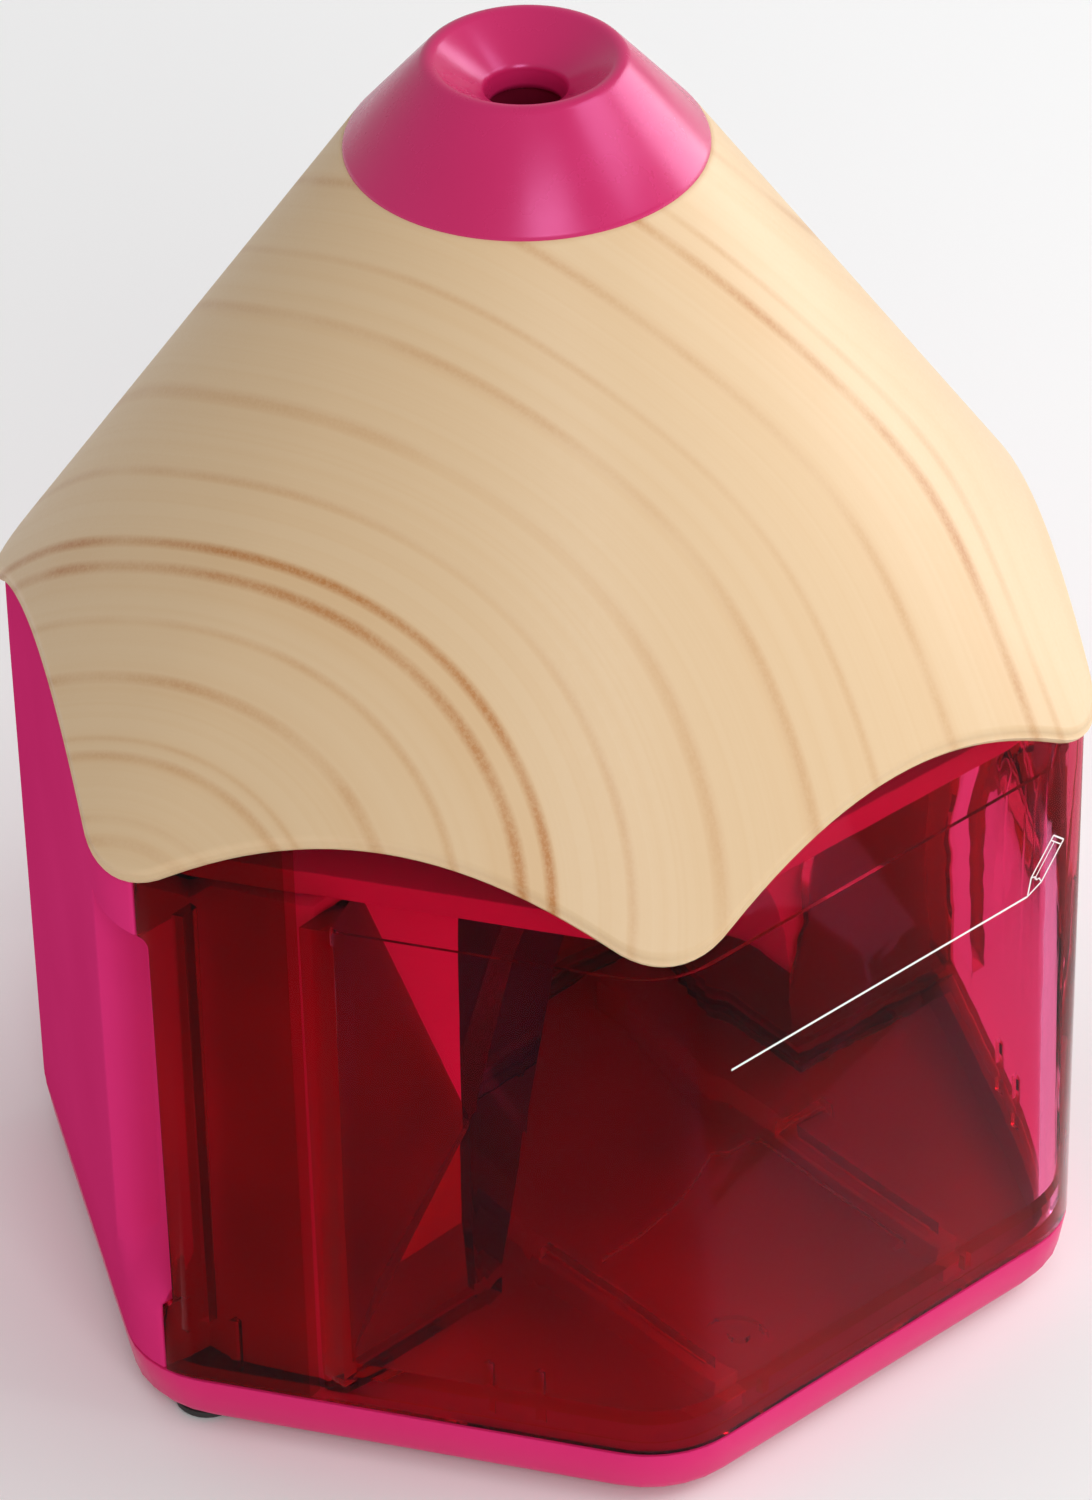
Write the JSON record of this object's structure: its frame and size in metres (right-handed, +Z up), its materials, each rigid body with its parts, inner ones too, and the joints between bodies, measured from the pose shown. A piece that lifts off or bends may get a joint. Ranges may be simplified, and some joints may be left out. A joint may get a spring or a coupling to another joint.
{
  "type": "pencil sharpener",
  "caption": "Battery pencil sharpener shaped like a sharpened hexagonal pencil, with a clear shavings bin that slides out, a printed cone, a tip cap with the hole and a helical cutter.",
  "frame": {"origin": "centre of the footprint, level with the underside of the feet", "axes": "+Z up along the pencil's axis; -Y is the front, where the shavings bin slides out; +X is the right side seen from the front"},
  "size_m": [0.1018, 0.091, 0.1234],
  "materials": {
    "pink_plastic": "semi-gloss moulded",
    "printed_cone": "satin, printed with wood grain",
    "clear_red_plastic": "clear, polished",
    "acetal": "natural",
    "grey_plastic": "moulded",
    "steel": "plated",
    "brass": "bright",
    "rubber": "matte",
    "cell_jacket": "gloss sleeve"
  },
  "bodies": {
    "root": {"base_plate": "pink_plastic", "rear_housing": "pink_plastic", "tip_cap": "pink_plastic", "pencil_guide": "pink_plastic", "gearbox_deck": "pink_plastic", "wood_cover": "printed_cone", "carrier_bush": "acetal", "ring_gear": "acetal", "pencil_switch": "grey_plastic", "bin_switch": "grey_plastic", "idler_pin": "steel", "motor_can": "steel", "motor_bracket": "steel", "lever_pin": "steel", "base_screw_left": "steel", "base_screw_right": "steel", "deck_screw_left": "steel", "deck_screw_right": "steel", "top_contact_left": "brass", "top_contact_right": "brass", "rubber_foot_1": "rubber", "rubber_foot_2": "rubber", "rubber_foot_3": "rubber", "rubber_foot_4": "rubber", "battery_cell_1": "cell_jacket", "battery_cell_2": "cell_jacket", "battery_cell_3": "cell_jacket", "battery_cell_4": "cell_jacket"},
    "bin": {"shavings_bin": "clear_red_plastic"},
    "carrier": {"main_drive_gear": "acetal", "cutter_carrier": "grey_plastic", "cutter_axle": "steel"},
    "cutter": {"helical_cutter": "steel", "cutter_pinion": "steel"},
    "idler": {"idler_gear": "acetal"},
    "rotor": {"motor_pinion": "brass", "motor_shaft": "steel"},
    "lever": {"switch_lever": "grey_plastic"},
    "plunger": {"interlock_plunger": "acetal"},
    "door_left": {"battery_door_left": "pink_plastic", "door_contact_left": "brass"},
    "door_right": {"battery_door_right": "pink_plastic", "door_contact_right": "brass"}
  },
  "joints": [
    {"name": "bin_slide", "type": "slide", "parent": "root", "child": "bin", "axis": [0, -1, 0], "range_m": [0, 0.06]},
    {"name": "carrier_spin", "type": "hinge", "parent": "root", "child": "carrier", "pos_m": [0, 0, 0.0638], "axis": [0, 0, 1], "continuous": true},
    {"name": "cutter_spin", "type": "hinge", "parent": "carrier", "child": "cutter", "pos_m": [0.00508, 0, 0.0715], "axis": [0.1736, 0, 0.9848], "continuous": true},
    {"name": "idler_spin", "type": "hinge", "parent": "root", "child": "idler", "pos_m": [-0.00703, 0.0271, 0.0638], "axis": [0, 0, 1], "continuous": true},
    {"name": "motor_spin", "type": "hinge", "parent": "root", "child": "rotor", "pos_m": [0.00896, 0.02758, 0.0688], "axis": [0, 0, 1], "continuous": true},
    {"name": "lever_hinge", "type": "hinge", "parent": "root", "child": "lever", "pos_m": [-0.0104, 0, 0.11], "axis": [0, 1, 0], "range_deg": [0, 14], "stiffness_Nm_per_rad": 0.002, "springref_deg": -17.19},
    {"name": "plunger_slide", "type": "slide", "parent": "root", "child": "plunger", "axis": [0, 1, 0], "range_m": [0, 0.0015], "stiffness_N_per_m": 150, "springref_m": -0.002},
    {"name": "door_left_slide", "type": "slide", "parent": "root", "child": "door_left", "axis": [1, 0, 0], "range_m": [0, 0.005]},
    {"name": "door_right_slide", "type": "slide", "parent": "root", "child": "door_right", "axis": [-1, 0, 0], "range_m": [0, 0.005]}
  ],
  "couplings": [
    {"joint": "cutter_spin", "follows": "carrier_spin", "ratio": -3.1667},
    {"joint": "idler_spin", "follows": "carrier_spin", "ratio": -3.6667},
    {"joint": "motor_spin", "follows": "carrier_spin", "ratio": 11}
  ]
}
